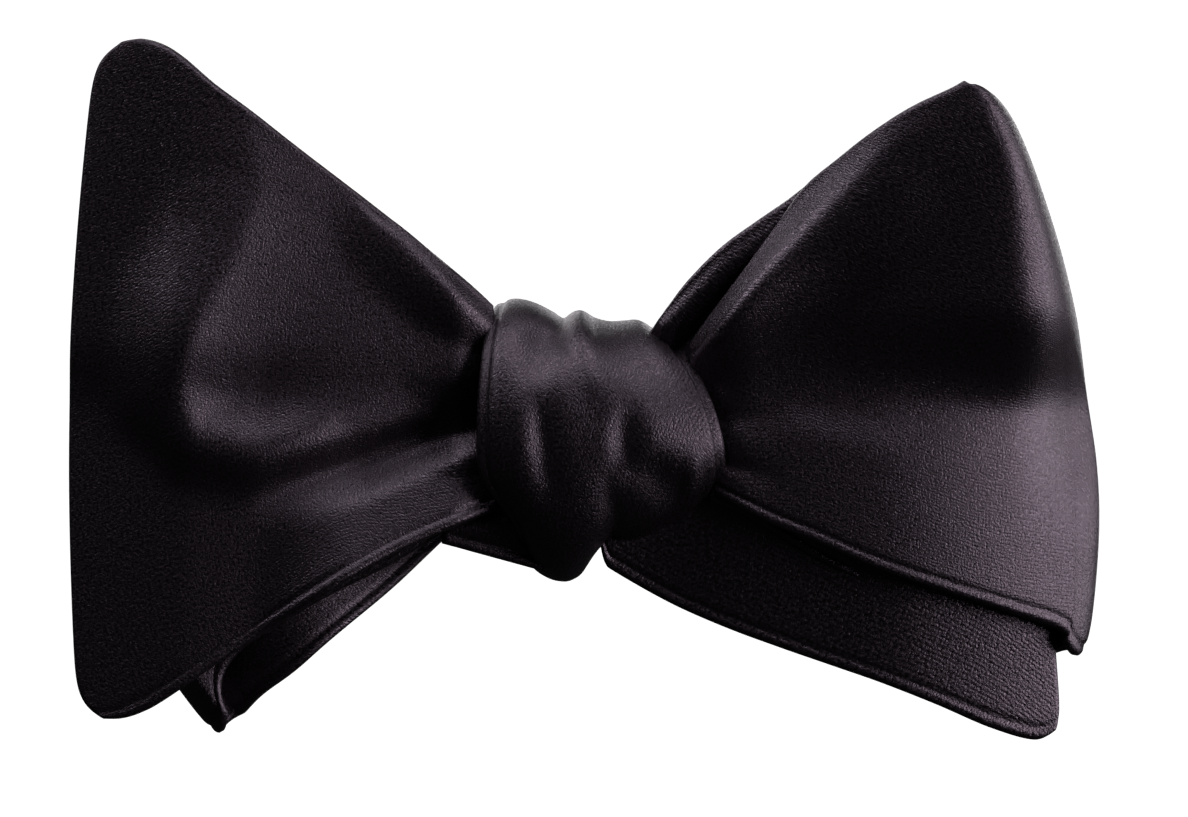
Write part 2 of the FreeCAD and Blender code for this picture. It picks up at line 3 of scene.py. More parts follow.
import bmesh
import bpy
import numpy as np
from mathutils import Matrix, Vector


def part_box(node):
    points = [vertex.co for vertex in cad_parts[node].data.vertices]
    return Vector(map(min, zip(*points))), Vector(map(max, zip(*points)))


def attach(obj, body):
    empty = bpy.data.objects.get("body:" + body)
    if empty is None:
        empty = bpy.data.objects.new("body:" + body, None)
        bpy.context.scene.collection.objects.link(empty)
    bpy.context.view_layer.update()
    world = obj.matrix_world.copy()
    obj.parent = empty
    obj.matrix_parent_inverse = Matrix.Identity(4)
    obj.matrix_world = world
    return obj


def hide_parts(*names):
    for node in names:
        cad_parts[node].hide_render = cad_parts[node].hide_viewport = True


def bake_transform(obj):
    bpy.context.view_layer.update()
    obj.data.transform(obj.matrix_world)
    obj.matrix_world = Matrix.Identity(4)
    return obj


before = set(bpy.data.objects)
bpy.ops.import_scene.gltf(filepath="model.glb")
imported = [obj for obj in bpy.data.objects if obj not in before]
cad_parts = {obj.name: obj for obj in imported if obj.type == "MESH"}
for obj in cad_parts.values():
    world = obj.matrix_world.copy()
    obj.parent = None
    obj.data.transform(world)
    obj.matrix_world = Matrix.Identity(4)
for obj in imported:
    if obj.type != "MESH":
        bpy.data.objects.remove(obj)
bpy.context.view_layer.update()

MM = 0.001

# A black satin bow tie, tied by hand, on its neckband. Lengths here are in millimetres, in the CAD frame:
# the bow faces -Y, the neckband is a ring about Z, and the hook and eye are at +Y.


# ------------------------------------------------------------------ places, from the frame
def box_mm(node):
    low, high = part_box(node)
    return np.array(low) / MM, np.array(high) / MM


knot_low, knot_high = box_mm("knot_wrap")
left_low, left_high = box_mm("left_end_face")
_, right_high = box_mm("right_loop_face")
front_low, front_high = box_mm("front_waist")
back_low, back_high = box_mm("back_waist")
_, strap_high = box_mm("left_strap_inner")

LEFT_REACH = -left_low[0]
RIGHT_REACH = right_high[0]
HEIGHT = left_high[2]
KNOT_HALF = knot_high[0]
KNOT_TOP = knot_high[2]
KNOT_BOTTOM = knot_low[2]
KNOT_FRONT = knot_low[1]
KNOT_BACK = knot_high[1]
FRONT_LAYER = (front_low[1] + front_high[1]) / 2
BACK_LAYER = (back_low[1] + back_high[1]) / 2
PANEL = 1.3        # thickness of one leaf: satin, interlining and satin, pressed
EDGE_ROUND = 0.75  # how far in from an edge the cloth reaches its full thickness


# ------------------------------------------------------------------ curves and reliefs
def along(points, share):
    """Points on a smooth curve through the given ones, at shares of its way from 0 to 1."""
    knots = np.array(points, float)
    last = len(knots) - 1
    place = np.clip(share, 0, 1) * last
    index = np.minimum(place.astype(int), last - 1)
    f = (place - index)[..., None]
    a = knots[np.maximum(index - 1, 0)]
    b = knots[index]
    c = knots[index + 1]
    d = knots[np.minimum(index + 2, last)]
    return 0.5 * (2 * b + (c - a) * f + (2 * a - 5 * b + 4 * c - d) * f**2 + (3 * b - a - 3 * c + d) * f**3)


def curve(values, share):
    """A smooth run of numbers, read at shares of its way from 0 to 1."""
    return along([(value, 0) for value in values], share)[..., 0]


def smooth(low, high, value):
    """Rises from 0 at low to 1 at high, level at both."""
    t = np.clip((value - low) / (high - low), 0, 1)
    return t * t * (3 - 2 * t)


def ridge(x, z, path, width, rise):
    """A soft ridge, or a valley where rise is negative, along a path.

    Width and rise run from their first value at its start to their second at its end.
    """
    path = np.array(path, float)
    best = np.full(x.shape, 1e9)
    share = np.zeros(x.shape)
    parts = len(path) - 1
    for number in range(parts):
        (x0, z0), (x1, z1) = path[number], path[number + 1]
        span = (x1 - x0) ** 2 + (z1 - z0) ** 2
        t = np.clip(((x - x0) * (x1 - x0) + (z - z0) * (z1 - z0)) / span, 0, 1)
        gap = np.hypot(x - x0 - t * (x1 - x0), z - z0 - t * (z1 - z0))
        nearer = gap < best
        best = np.where(nearer, gap, best)
        share = np.where(nearer, (number + t) / parts, share)
    wide = width[0] + (width[1] - width[0]) * share
    high = rise[0] + (rise[1] - rise[0]) * share
    return high * np.exp(-((best / wide) ** 2))


def bank(x, z, path, sharp=False):
    """A ridge, or a valley where its rise is negative, with flanks of different widths.

    Each point of the path is (x, z, rise, width of the flank on its left, width of the flank on its right).
    A sharp ridge falls away at once on its right and flattens further out.
    """
    path = np.array(path, float)
    best = np.full(x.shape, 1e9)
    rise = np.zeros(x.shape)
    wide = np.ones(x.shape)
    on_left = np.zeros(x.shape, bool)
    for start, end in zip(path[:-1], path[1:]):
        way = end[:2] - start[:2]
        t = np.clip(((x - start[0]) * way[0] + (z - start[1]) * way[1]) / way.dot(way), 0, 1)
        off_x = x - start[0] - t * way[0]
        off_z = z - start[1] - t * way[1]
        gap = np.hypot(off_x, off_z)
        left = way[0] * off_z - way[1] * off_x > 0
        nearer = gap < best
        best = np.where(nearer, gap, best)
        rise = np.where(nearer, start[2] + t * (end[2] - start[2]), rise)
        side = np.where(left, start[3] + t * (end[3] - start[3]), start[4] + t * (end[4] - start[4]))
        wide = np.where(nearer, side, wide)
        on_left = np.where(nearer, left, on_left)
    share = best / wide
    soft = 1 - smooth(0, 1, share)
    if not sharp:
        return rise * soft
    return rise * np.where(on_left, soft, np.maximum(1 - share, 0) ** 2)


def hollow(x, z, path, power):
    """A flat-floored hollow along a path whose points are (x, z, depth, radius)."""
    path = np.array(path, float)
    floor = np.zeros(x.shape)
    for start, end in zip(path[:-1], path[1:]):
        for t in np.linspace(0, 1, 9):
            px, pz, depth, radius = start + t * (end - start)
            floor = np.maximum(floor, depth * np.exp(-((np.hypot(x - px, z - pz) / radius) ** power)))
    return floor


def soften(field, times):
    """Evens out a field of heights by taking the mean of neighbours."""
    for _ in range(times):
        padded = np.pad(field, 1, mode="edge")
        field = (
            padded[1:-1, 1:-1] * 0.4
            + (padded[:-2, 1:-1] + padded[2:, 1:-1] + padded[1:-1, :-2] + padded[1:-1, 2:]) * 0.15
        )
    return field


# ------------------------------------------------------------------ cloth
def lengths(grid, axis):
    """How far each point of a grid is from the grid's start, along one axis of it."""
    steps = np.linalg.norm(np.diff(grid, axis=axis), axis=2)
    start = np.zeros_like(np.take(steps, [0], axis=axis))
    return np.concatenate([start, np.cumsum(steps, axis=axis)], axis=axis)


def normals(grid):
    across = np.cross(np.gradient(grid, axis=0), np.gradient(grid, axis=1))
    size = np.linalg.norm(across, axis=2, keepdims=True)
    return across / np.maximum(size, 1e-9)


def soft_edge(gap, thickness):
    """Half the cloth's thickness at a distance from its round edge."""
    reach = np.clip(gap / EDGE_ROUND, 0, 1)
    return thickness / 2 * np.sqrt(np.maximum(1 - (1 - reach) ** 2, 0))


def mesh_object(name, points, faces, uv, material):
    mesh = bpy.data.meshes.new(name)
    mesh.from_pydata((points * MM).tolist(), [], faces.tolist())
    layer = mesh.uv_layers.new(name="weave")
    loops = np.zeros(len(mesh.loops), np.int32)
    mesh.loops.foreach_get("vertex_index", loops)
    layer.uv.foreach_set("vector", uv[loops].astype(np.float32).ravel())
    mesh.materials.append(material)
    thing = bpy.data.objects.new(name, mesh)
    bpy.context.scene.collection.objects.link(thing)
    mesh.shade_smooth()
    return thing


def grid_faces(rows, columns, offset, flip):
    corner = offset + np.arange(rows - 1)[:, None] * columns + np.arange(columns - 1)[None, :]
    corner = corner.ravel()
    quad = np.stack([corner, corner + columns, corner + columns + 1, corner + 1], axis=1)
    return quad[:, ::-1] if flip else quad


def cloth(name, grid, material, thickness=PANEL, seam=0.3, edges=(True, True, True, True)):
    """A closed sheet of cloth round a grid of points of its middle surface.

    edges says which sides close with a round edge: the first and last row, the first and last column. The
    groove of a seam follows the first column.
    """
    rows, columns = grid.shape[:2]
    run = lengths(grid, 0)
    width = lengths(grid, 1)
    gap = np.full((rows, columns), 1e9)
    if edges[0]:
        gap = np.minimum(gap, run)
    if edges[1]:
        gap = np.minimum(gap, run[-1:] - run)
    if edges[2]:
        gap = np.minimum(gap, width)
    if edges[3]:
        gap = np.minimum(gap, width[:, -1:] - width)
    groove = 1 - seam * np.exp(-(((width - 1.5) / 0.35) ** 2))
    half = (soft_edge(gap, thickness) * groove)[..., None]
    normal = normals(grid)
    front = (grid + normal * half).reshape(-1, 3)
    back = (grid - normal * half).reshape(-1, 3)
    count = rows * columns
    flat = np.stack([run, width - width[:, -1:] / 2], axis=2).reshape(-1, 2)
    faces = [grid_faces(rows, columns, 0, False), grid_faces(rows, columns, count, True)]
    rim = np.concatenate(
        [
            np.arange(columns),
            np.arange(1, rows) * columns + columns - 1,
            (rows - 1) * columns + np.arange(columns - 2, -1, -1),
            np.arange(rows - 2, 0, -1) * columns,
        ]
    )
    after = np.roll(rim, -1)
    faces.append(np.stack([rim, after, after + count, rim + count], axis=1))
    points = np.concatenate([front, back])
    thing = mesh_object(name, points, np.concatenate(faces), np.concatenate([flat, flat]), material)
    weld(thing)
    return thing


def weld(thing):
    """Joins the front and back of a sheet where they meet at its round edge."""
    work = bmesh.new()
    work.from_mesh(thing.data)
    bmesh.ops.remove_doubles(work, verts=work.verts, dist=0.002 * MM)
    bmesh.ops.recalc_face_normals(work, faces=work.faces)
    work.to_mesh(thing.data)
    work.free()
    thing.data.shade_smooth()


def spread(count, strength=0.75):
    """Shares from 0 to 1 that crowd towards both ends."""
    even = np.linspace(0, 1, count)
    return (1 - strength) * even + strength * (0.5 - 0.5 * np.cos(math.pi * even))


# ------------------------------------------------------------------ materials
def new_material(name):
    material = bpy.data.materials.new(name)
    material.use_nodes = True
    tree = material.node_tree
    shader = tree.nodes["Principled BSDF"]
    return material, tree, shader


def maths(tree, operation, first, second=None, third=None):
    node = tree.nodes.new("ShaderNodeMath")
    node.operation = operation
    for number, value in enumerate((first, second, third)):
        if value is None:
            continue
        if isinstance(value, (int, float)):
            node.inputs[number].default_value = value
        else:
            tree.links.new(value, node.inputs[number])
    return node.outputs[0]


def noise(tree, vector, scale, detail):
    node = tree.nodes.new("ShaderNodeTexNoise")
    node.inputs["Scale"].default_value = scale
    node.inputs["Detail"].default_value = detail
    tree.links.new(vector, node.inputs["Vector"])
    return node.outputs["Fac"]


def ramp(tree, value, stops):
    node = tree.nodes.new("ShaderNodeValToRGB")
    elements = node.color_ramp.elements
    while len(elements) < len(stops):
        elements.new(0.5)
    for element, (place, colour) in zip(elements, stops):
        element.position = place
        element.color = (*colour, 1)
    tree.links.new(value, node.inputs["Fac"])
    return node.outputs["Color"]


def satin_material(name, pitch=0.40, coarse=1.0):
    """Black satin: fine diagonal floats and slubs over a broad soft sheen. Pitch is in millimetres."""
    material, tree, shader = new_material(name)
    uv = tree.nodes.new("ShaderNodeUVMap")
    uv.uv_map = "weave"
    parts = tree.nodes.new("ShaderNodeSeparateXYZ")
    tree.links.new(uv.outputs["UV"], parts.inputs[0])
    slub = noise(tree, uv.outputs["UV"], 0.9, 2.0)
    speckle = noise(tree, uv.outputs["UV"], 1.2 / pitch, 2.0)
    fine = noise(tree, uv.outputs["UV"], 2.2 / pitch, 1.0)
    cloud = noise(tree, uv.outputs["UV"], 0.06, 3.0)
    turn = 2 * math.pi / pitch
    lean = maths(tree, "MULTIPLY_ADD", parts.outputs["X"], 0.45, parts.outputs["Y"])
    lean = maths(tree, "MULTIPLY_ADD", slub, pitch * 0.7, lean)
    twill = maths(tree, "SINE", maths(tree, "MULTIPLY", lean, turn))
    cross = maths(tree, "SINE", maths(tree, "MULTIPLY", parts.outputs["X"], turn * 0.8))
    weave = maths(tree, "MULTIPLY_ADD", cross, 0.35, twill)
    level = maths(tree, "MULTIPLY_ADD", weave, 0.10 * coarse, speckle)
    level = maths(tree, "MULTIPLY_ADD", maths(tree, "SUBTRACT", cloud, 0.5), 0.4, level)
    colour = ramp(tree, level, [(0.25, (0.0012, 0.0010, 0.0012)), (0.75, (0.0055, 0.0043, 0.0055))])
    tree.links.new(colour, shader.inputs["Base Color"])
    rough = maths(tree, "MULTIPLY_ADD", maths(tree, "SUBTRACT", speckle, 0.5), 0.8, 0.37)
    tree.links.new(rough, shader.inputs["Roughness"])
    shader.inputs["Specular IOR Level"].default_value = 1.0
    shader.inputs["Specular Tint"].default_value = (1.0, 0.78, 1.0, 1)
    bump = tree.nodes.new("ShaderNodeBump")
    bump.inputs["Strength"].default_value = 0.8
    bump.inputs["Distance"].default_value = 0.00009
    height = maths(tree, "MULTIPLY_ADD", weave, 0.07 * coarse, maths(tree, "ADD", speckle, fine))
    tree.links.new(height, bump.inputs["Height"])
    tree.links.new(bump.outputs["Normal"], shader.inputs["Normal"])
    return material


def interlining_material():
    material, tree, shader = new_material("interlining_canvas")
    uv = tree.nodes.new("ShaderNodeUVMap")
    uv.uv_map = "weave"
    parts = tree.nodes.new("ShaderNodeSeparateXYZ")
    tree.links.new(uv.outputs["UV"], parts.inputs[0])
    warp = maths(tree, "SINE", maths(tree, "MULTIPLY", parts.outputs["X"], 9.0))
    weft = maths(tree, "SINE", maths(tree, "MULTIPLY", parts.outputs["Y"], 9.0))
    level = maths(tree, "MULTIPLY_ADD", maths(tree, "MULTIPLY", warp, weft), 0.4, 0.5)
    colour = ramp(tree, level, [(0.0, (0.05, 0.047, 0.043)), (1.0, (0.14, 0.13, 0.12))])
    tree.links.new(colour, shader.inputs["Base Color"])
    shader.inputs["Roughness"].default_value = 0.9
    return material


def metal_material():
    """Nickel-plated steel, brushed by tumbling, with a little dulling."""
    material, tree, shader = new_material("nickel_plate")
    coordinates = tree.nodes.new("ShaderNodeTexCoord")
    cloud = noise(tree, coordinates.outputs["Object"], 400.0, 4.0)
    scratch = noise(tree, coordinates.outputs["Object"], 2500.0, 2.0)
    colour = ramp(tree, cloud, [(0.3, (0.50, 0.48, 0.45)), (0.7, (0.68, 0.66, 0.62))])
    tree.links.new(colour, shader.inputs["Base Color"])
    shader.inputs["Metallic"].default_value = 0.85
    rough = maths(tree, "MULTIPLY_ADD", scratch, 0.25, 0.36)
    tree.links.new(rough, shader.inputs["Roughness"])
    bump = tree.nodes.new("ShaderNodeBump")
    bump.inputs["Strength"].default_value = 0.15
    bump.inputs["Distance"].default_value = 0.00002
    tree.links.new(scratch, bump.inputs["Height"])
    tree.links.new(bump.outputs["Normal"], shader.inputs["Normal"])
    return material


def thread_material():
    material, tree, shader = new_material("sewing_thread")
    coordinates = tree.nodes.new("ShaderNodeTexCoord")
    fuzz = noise(tree, coordinates.outputs["Object"], 5000.0, 2.0)
    colour = ramp(tree, fuzz, [(0.3, (0.008, 0.008, 0.009)), (0.7, (0.035, 0.033, 0.034))])
    tree.links.new(colour, shader.inputs["Base Color"])
    shader.inputs["Roughness"].default_value = 0.6
    return material


SATIN = satin_material("black_satin")
COARSE = satin_material("black_satin_reverse", pitch=0.52, coarse=1.4)
CANVAS = interlining_material()
METAL = metal_material()
THREAD = thread_material()


# ------------------------------------------------------------------ the bow's four leaves
# Outlines are (distance from the knot's centre as a share of that side's reach, height as a share of
# the height of the tallest corner), from the knot outwards and round the corner.
LEFT_END_TOP = [
    (0.200, 0.319), (0.272, 0.409), (0.414, 0.569), (0.568, 0.733), (0.657, 0.830), (0.729, 0.904),
    (0.787, 0.973), (0.829, 1.010), (0.872, 1.026), (0.908, 1.016),
]
LEFT_END_BOTTOM = [
    (0.190, -0.226), (0.268, -0.268), (0.374, -0.332), (0.454, -0.393), (0.545, -0.473), (0.693, -0.603),
    (0.825, -0.728), (0.873, -0.765), (0.912, -0.782), (0.948, -0.784),
]
RIGHT_LOOP_TOP = [
    (0.179, 0.207), (0.275, 0.380), (0.346, 0.518), (0.403, 0.632), (0.467, 0.702), (0.524, 0.763),
    (0.595, 0.826), (0.659, 0.866), (0.712, 0.890), (0.754, 0.895), (0.790, 0.880),
]
RIGHT_LOOP_BOTTOM = [
    (0.232, -0.186), (0.289, -0.231), (0.358, -0.276), (0.426, -0.311), (0.540, -0.380), (0.655, -0.433),
    (0.777, -0.486), (0.847, -0.518), (0.892, -0.537), (0.945, -0.561), (0.975, -0.574), (0.988, -0.585),
]
RIGHT_LOOP_BACK_BOTTOM = [
    (0.217, -0.205), (0.289, -0.244), (0.410, -0.345), (0.526, -0.428), (0.612, -0.486), (0.685, -0.537),
    (0.771, -0.590), (0.828, -0.619), (0.900, -0.643), (0.949, -0.643), (0.979, -0.625),
]
RIGHT_END_TOP = [
    (0.083, 0.213), (0.122, 0.284), (0.140, 0.319), (0.179, 0.388), (0.244, 0.476), (0.314, 0.545),
    (0.371, 0.598), (0.428, 0.654), (0.534, 0.731), (0.651, 0.789), (0.740, 0.784), (0.769, 0.731),
]
RIGHT_END_BOTTOM = [
    (0.005, -0.319), (0.015, -0.372), (0.038, -0.399), (0.146, -0.481), (0.254, -0.545), (0.361, -0.598),
    (0.469, -0.648), (0.561, -0.691), (0.669, -0.749), (0.777, -0.813), (0.867, -0.848), (0.910, -0.824),
]
LEFT_LOOP_TOP = [
    (0.190, 0.199), (0.298, 0.252), (0.412, 0.306), (0.526, 0.332), (0.640, 0.359), (0.753, 0.372),
    (0.848, 0.359), (0.905, 0.332), (0.943, 0.279), (0.966, 0.199),
]
LEFT_LOOP_FRONT_BOTTOM = [
    (0.190, -0.199), (0.298, -0.292), (0.412, -0.385), (0.526, -0.465), (0.621, -0.545), (0.687, -0.603),
    (0.731, -0.678), (0.759, -0.752), (0.772, -0.779),
]
LEFT_LOOP_BACK_BOTTOM = [
    (0.242, -0.239), (0.295, -0.306), (0.333, -0.356), (0.401, -0.446), (0.475, -0.531), (0.533, -0.598),
    (0.598, -0.678), (0.666, -0.736), (0.725, -0.779), (0.757, -0.792),
]


def leaf(side, top, bottom, bow, corner, rows, columns):
    """Plane positions of a leaf: rows run out from the knot and columns from its bottom edge to its top.

    bow is how far the far edge bulges and corner how far its rounded corners stand out.
    """
    reach = LEFT_REACH if side < 0 else RIGHT_REACH
    out = np.linspace(0, 1, rows)
    up = spread(columns)
    high = along(top, out)[:, None, :]
    low = along(bottom, out)[:, None, :]
    flat = low + (high - low) * up[None, :, None]
    distance = flat[..., 0] * reach
    height = flat[..., 1] * HEIGHT
    far = smooth(0.45, 1.0, out)[:, None]
    distance = distance + bow * far * np.sin(math.pi * up)[None, :]
    distance = distance + corner * far * (1 - np.abs(2 * up - 1) ** 24)[None, :]
    return distance, height, out[:, None] * np.ones_like(distance), up[None, :] * np.ones_like(distance)


def shares(reach, points):
    """Points in millimetres from shares of a side's reach and of the bow's height."""
    return [(x * reach, z * HEIGHT) for x, z in points]


def stack(side, distance, depth, height):
    return np.stack([side * distance, depth, height], axis=2)


def left_end():
    """The flat front end: a rolled lip half way out, a trough under it and a lower band turned up."""
    x, z, _, _ = leaf(-1, LEFT_END_TOP, LEFT_END_BOTTOM, 2.0, 3.2, 130, 110)
    lip = [
        (41, 37, 0.4, 12, 14), (39.0, 28, 1.0, 12, 14), (41.5, 20, 1.8, 12, 13), (46.0, 12, 2.8, 12, 12),
        (48.6, 4, 3.2, 10, 12), (46.6, -1.4, 3.0, 6, 10), (39.5, -3.0, 2.6, 6, 9), (29.0, -1.0, 1.6, 4, 7),
        (21.0, 1.6, 0.8, 2.5, 4),
    ]
    trough = [
        (12, 0.0, -2.0, 7, 3), (20, -2.2, -3.0, 9, 4), (28, -4.6, -2.6, 8, 5), (35, -7.0, -1.2, 5, 5),
        (40, -9, 0, 5, 5),
    ]
    crease = [(12, 10.4, 1.2, 2, 3), (17, 15, 1.6, 2, 6), (24, 22, 0.8, 2, 7)]
    rise = bank(x, z, lip, sharp=True)
    rise += bank(x, z, trough)
    rise += bank(x, z, crease)
    # the leaf swells away from the knot and turns back beyond the lip
    open_area = 0.4 + 0.6 * smooth(2, 10, z)
    rise += 2.2 * smooth(16, 46, x) * open_area - 0.16 * np.maximum(x - 48, 0)
    # the lower band stands out towards its hem
    rise += 0.30 * np.maximum(-6 - z, 0) * smooth(40, 28, x)
    depth = FRONT_LAYER + 1.0 + 2.0 * (1 - smooth(11, 17, x)) - soften(rise, 6)
    return stack(-1, x, depth, z)


def folded(front, back, radius, turns=18):
    """Joins a front leaf and a back leaf by a round fold that runs on from both of them."""
    first = front[-1]
    last = back[-1]

    def heading(rows):
        way = rows[-1] - rows[-5]
        way = way / np.linalg.norm(way, axis=1, keepdims=True)
        for _ in range(40):
            way[1:-1] = way[1:-1] * 0.5 + (way[:-2] + way[2:]) * 0.25
        return way / np.linalg.norm(way, axis=1, keepdims=True)

    handle = radius * 4 / 3
    one = first + heading(front) * handle
    two = last + heading(back) * handle
    middle = []
    for t in np.linspace(0, 1, turns + 2)[1:-1]:
        r = 1 - t
        middle.append(first * r**3 + one * 3 * r * r * t + two * 3 * r * t * t + last * t**3)
    grid = np.concatenate([front, np.array(middle), back[::-1]])
    for _ in range(22):
        grid[1:-1] = grid[1:-1] * 0.5 + (grid[:-2] + grid[2:]) * 0.25
    return grid


def right_loop():
    """The folded front loop: a crease along its upper side, a wide hollow below it and a turned-back rim."""
    radius = 4.0
    x, z, out, _ = leaf(1, RIGHT_LOOP_TOP, RIGHT_LOOP_BOTTOM, 4.9, 0.9, 130, 110)
    x = x - radius * smooth(0.7, 1.0, out)
    crease = [
        (13, 9.5, 4.2, 3, 5), (20, 17, 4.0, 3.6, 8), (27.0, 24.4, 2.6, 4, 12), (34, 31.5, 1.0, 4, 13),
        (41, 35, 0.2, 4, 12),
    ]
    trough = [(16, 3.0, -0.3, 4, 3), (26, 2.6, -0.8, 10, 5), (36, 2.2, -1.0, 12, 7), (48, 3, -0.6, 12, 7)]
    rim = [(52.5, 5, 0.3, 12, 5), (51, 14, 0.6, 13, 5), (49, 22, 0.6, 13, 5), (46, 30, 0.4, 10, 5)]
    rise = bank(x, z, crease)
    # the upper part bulges away from the knot; the lower part swells and then turns back
    upper = smooth(1, 14, z)
    rise += 7.0 * smooth(12, 50, x) * upper * (1 - 0.4 * smooth(50, 57, x))
    rise += bank(x, z, trough)
    rise += bank(x, z, rim)
    rise -= 4.4 * smooth(48.5, 57, x + 0.12 * np.maximum(z - 8, 0)) * smooth(-14, 6, z)
    rise += 0.13 * np.maximum(z - 6, 0) * smooth(20, 36, x)
    rise += 1.6 * smooth(12, 34, x) * (1 - upper)
    rise -= 6.4 * np.maximum((x - 33) / 23, 0) ** 2 * (1 - upper)
    # two short pleats where the loop leaves the knot
    rise += ridge(x, z, [(14, 0.8), (19, 0)], (1.0, 1.8), (-1.0, -0.3))
    rise += ridge(x, z, [(14, -4.4), (20, -6)], (0.9, 1.6), (-0.8, -0.2))
    root = 3.0 * (1 - smooth(10.5, 17, x))
    front = stack(1, x, FRONT_LAYER + 0.2 + root - soften(rise, 4), z)
    x, z, out, up = leaf(1, RIGHT_LOOP_TOP, RIGHT_LOOP_BACK_BOTTOM, 4.9, 0.9, 110, 110)
    x = x - radius * smooth(0.7, 1.0, out)
    z = z - 0.9 * up
    depth = FRONT_LAYER + 3.0 + 7.0 * smooth(0.2, 1.0, out) - 0.3 * rise_like(x, z, RIGHT_REACH)
    back = stack(1, x, depth, z)
    return folded(front, back, radius)


def rise_like(x, z, reach):
    """Slow waves of a leaf that nothing presses."""
    return np.sin(x / reach * 5.0 + 0.6) * np.cos(z / HEIGHT * 3.0) * 2.0


def left_loop():
    """The folded back loop, mostly behind the left end; its back leaf comes forward half way out."""
    radius = 3.4
    x, z, out, _ = leaf(-1, LEFT_LOOP_TOP, LEFT_LOOP_FRONT_BOTTOM, 6.0, 0.6, 110, 80)
    x = x - radius * smooth(0.7, 1.0, out)
    front = stack(-1, x, BACK_LAYER - 0.6 + 1.2 * out - 0.2 * rise_like(x, z, LEFT_REACH), z)
    x, z, out, _ = leaf(-1, LEFT_LOOP_TOP, LEFT_LOOP_BACK_BOTTOM, 6.0, 0.6, 110, 80)
    x = x - radius * smooth(0.7, 1.0, out)
    depth = BACK_LAYER + 5.0 - 3.0 * smooth(0.05, 0.6, out) + 4.0 * smooth(0.6, 1.0, out)
    depth = depth + 0.14 * np.clip(z + 34, 0, 15) * (1 - smooth(0.3, 0.7, out))
    back = stack(-1, x, depth, z)
    return folded(front, back, radius)


def right_end():
    """The flat back end: a crease and a groove along its upper edge, swelling away from the knot."""
    x, z, _, _ = leaf(1, RIGHT_END_TOP, RIGHT_END_BOTTOM, 1.0, 0.8, 120, 100)
    crease = shares(RIGHT_REACH, [(0.14, 0.26), (0.26, 0.42), (0.40, 0.56)])
    groove = shares(RIGHT_REACH, [(0.16, 0.20), (0.30, 0.38), (0.44, 0.52)])
    rise = ridge(x, z, crease, (0.9, 1.6), (0.9, 0.6))
    rise += ridge(x, z, groove, (0.9, 1.6), (-0.9, -0.6))
    rise += 4.6 * smooth(2, 38, x)
    rise -= 6.0 * np.maximum((x - 30) / 30, 0) ** 2
    rise += 0.09 * np.maximum(z + 34, 0) * smooth(34, 14, x)
    depth = BACK_LAYER + 1.6 - soften(rise, 2)
    return stack(1, x, depth, z)


# ------------------------------------------------------------------ knot
KNOT_EDGE_LEFT = [0.61, 0.715, 0.975, 1.0, 0.98, 0.93, 0.80]
KNOT_EDGE_RIGHT = [0.43, 0.80, 0.975, 0.93, 0.77, 0.50, 0.40]
KNOT_CREST = [0.93, 0.985, 0.98, 0.945, 0.89, 0.83, 0.895, 0.835, 0.805, 0.81, 0.81, 0.71]
KNOT_HEM = [0.80, 0.92, 0.975, 1.0, 0.995, 0.93, 0.735, 0.74, 0.735, 0.69, 0.61, 0.50]


def knot_surface(rows=150, columns=110, widen=0.0, sink=0.0):
    """The wrap of the knot: rows go from its back over the top, down the front and under."""
    first_turn = -28  # degrees about the knot's long axis, from straight up; 90 faces forward
    last_turn = 208
    turn = np.radians(np.linspace(first_turn, last_turn, rows))[:, None] * np.ones((1, columns))
    across = spread(columns)[None, :] * np.ones((rows, 1))
    crest = curve(KNOT_CREST, across) * KNOT_TOP
    hem = curve(KNOT_HEM, across) * -KNOT_BOTTOM
    middle = -1.2
    upper = (crest - middle - sink) * np.cos(turn)
    lower = (hem + middle - sink) * np.cos(turn)
    z = middle + np.where(np.cos(turn) > 0, upper, lower)
    level = np.clip((z / KNOT_TOP + 1.15) / 2.3, 0, 1)
    left = curve(KNOT_EDGE_LEFT, level) * KNOT_HALF
    right = curve(KNOT_EDGE_RIGHT, level) * KNOT_HALF + widen
    x = -left + (left + right) * across
    depth = (KNOT_BACK - KNOT_FRONT) * 0.5
    centre = KNOT_BACK - depth * 0.55
    side = np.abs(2 * across - 1)
    y = centre - (depth * 1.35 - sink) * np.sin(turn) * (1 - 0.17 * side**2.6)
    front = np.clip(np.sin(turn), 0, 1)
    rise = np.zeros_like(x)
    for path in KNOT_PLEATS:
        rise += bank(x, z, path)
    rise -= hollow(x, z, [(-6.2, 9.6, 1.5, 2.0), (-6.6, 7.2, 0.7, 2.0)], 2.2)
    rise -= hollow(x, z, [(6.4, -5.6, 0.7, 2.0), (8.0, -7.4, 1.3, 2.5)], 2.4)
    rise = soften(rise, 12)
    y = y - rise * front
    return np.stack([x, y, z], axis=2)


